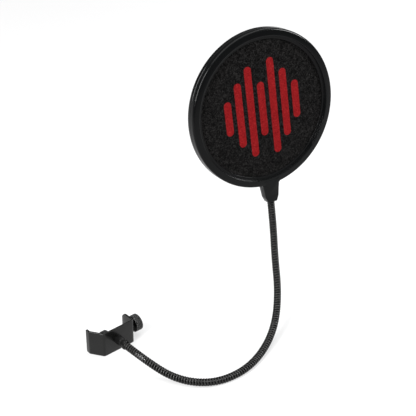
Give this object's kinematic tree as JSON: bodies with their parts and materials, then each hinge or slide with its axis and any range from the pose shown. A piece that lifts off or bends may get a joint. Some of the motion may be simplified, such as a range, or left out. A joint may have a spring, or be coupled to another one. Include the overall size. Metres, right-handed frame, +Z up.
{
  "type": "pop filter",
  "caption": "Round two-layer fabric screen in a black rim on a bendable gooseneck arm, with a screw clamp for a microphone stand.",
  "frame": {"origin": "where the thumb screw's axis meets the axis of a 15 mm stand tube held in the jaw", "axes": "+Z up along the gripped stand tube, +X along the thumb screw towards its knob, +Y out of the jaw's mouth; the arm leaves towards -Y"},
  "size_m": [0.2765, 0.1273, 0.2791],
  "materials": {
    "black_paint": "satin black paint on steel strip",
    "black_steel": "black oxide, satin",
    "spring_steel": "drawn spring wire",
    "pad_rubber": "matt moulded rubber",
    "black_knob": "satin black, straight knurl",
    "rim_plastic": "semi-gloss moulded black plastic",
    "hoop_plastic": "plain moulded plastic",
    "front_fabric": "black fleecy nylon with a red print",
    "rear_fabric": "black fleecy nylon",
    "sleeve_steel": "zinc plated steel",
    "arm_coil_black": "black wound steel, satin"
  },
  "bodies": {
    "clamp": {"clamp_bracket": "black_paint", "jaw_nut": "black_steel", "lower_ferrule": "black_steel", "ferrule_screw": "black_steel", "arm_coil_1": "arm_coil_black", "arm_core_1": "spring_steel"},
    "pad": {"pressure_pad": "pad_rubber"},
    "screw": {"clamp_screw": "black_steel", "tip_clip": "spring_steel", "knob": "black_knob"},
    "arm_2": {"arm_coil_2": "arm_coil_black", "arm_core_2": "spring_steel"},
    "arm_3": {"arm_coil_3": "arm_coil_black", "arm_core_3": "spring_steel"},
    "arm_4": {"arm_coil_4": "arm_coil_black", "arm_core_4": "spring_steel"},
    "arm_5": {"arm_coil_5": "arm_coil_black", "arm_core_5": "spring_steel"},
    "arm_6": {"arm_coil_6": "arm_coil_black", "arm_core_6": "spring_steel"},
    "arm_7": {"arm_coil_7": "arm_coil_black", "arm_core_7": "spring_steel"},
    "arm_8": {"arm_coil_8": "arm_coil_black", "arm_core_8": "spring_steel"},
    "screen": {"arm_coil_9": "arm_coil_black", "arm_core_9": "spring_steel", "neck_insert": "sleeve_steel", "neck_screws": "sleeve_steel", "front_rim": "rim_plastic", "rear_rim": "rim_plastic", "spacer_hoop": "hoop_plastic", "front_screen": "front_fabric", "rear_screen": "rear_fabric"}
  },
  "joints": [
    {"name": "arm_bend_1", "type": "hinge", "parent": "clamp", "child": "arm_2", "pos_m": [0.01635, -0.0644, -0.0046], "axis": [0.9543, 0.2989, 0], "range_deg": [-15, 15]},
    {"name": "arm_bend_2", "type": "hinge", "parent": "arm_2", "child": "arm_3", "pos_m": [0.0324, -0.0949, -0.00935], "axis": [0.0056, -0.0069, 1], "range_deg": [-15, 15]},
    {"name": "arm_bend_3", "type": "hinge", "parent": "arm_3", "child": "arm_4", "pos_m": [0.0592, -0.11135, -0.0095], "axis": [0.2025, 0.9793, 0], "range_deg": [-15, 15]},
    {"name": "arm_bend_4", "type": "hinge", "parent": "arm_4", "child": "arm_5", "pos_m": [0.0927, -0.11015, -0.0094], "axis": [-0.0054, -0.0014, 1], "range_deg": [-15, 15]},
    {"name": "arm_bend_5", "type": "hinge", "parent": "arm_5", "child": "arm_6", "pos_m": [0.12565, -0.09735, -0.00545], "axis": [-0.4663, 0.8846, 0], "range_deg": [-15, 15]},
    {"name": "arm_bend_6", "type": "hinge", "parent": "arm_6", "child": "arm_7", "pos_m": [0.15265, -0.07855, 0.0073], "axis": [-0.3648, -0.3391, 0.8672], "range_deg": [-15, 15]},
    {"name": "arm_bend_7", "type": "hinge", "parent": "arm_7", "child": "arm_8", "pos_m": [0.1709, -0.0576, 0.02845], "axis": [-0.8333, 0.5528, 0], "range_deg": [-15, 15]},
    {"name": "arm_bend_8", "type": "hinge", "parent": "arm_8", "child": "screen", "pos_m": [0.18191, -0.04102, 0.05485], "axis": [-0.4909, -0.7371, 0.4644], "range_deg": [-15, 15]},
    {"name": "pad_travel", "type": "slide", "parent": "clamp", "child": "pad", "axis": [1, 0, 0], "range_m": [-0.002, 0.0215]},
    {"name": "screw_turn", "type": "hinge", "parent": "pad", "child": "screw", "pos_m": [0, 0, 0], "axis": [1, 0, 0], "range_deg": [-756, 7776]}
  ],
  "couplings": [
    {"joint": "screw_turn", "follows": "pad_travel", "rad_per_m": 6283.2}
  ]
}
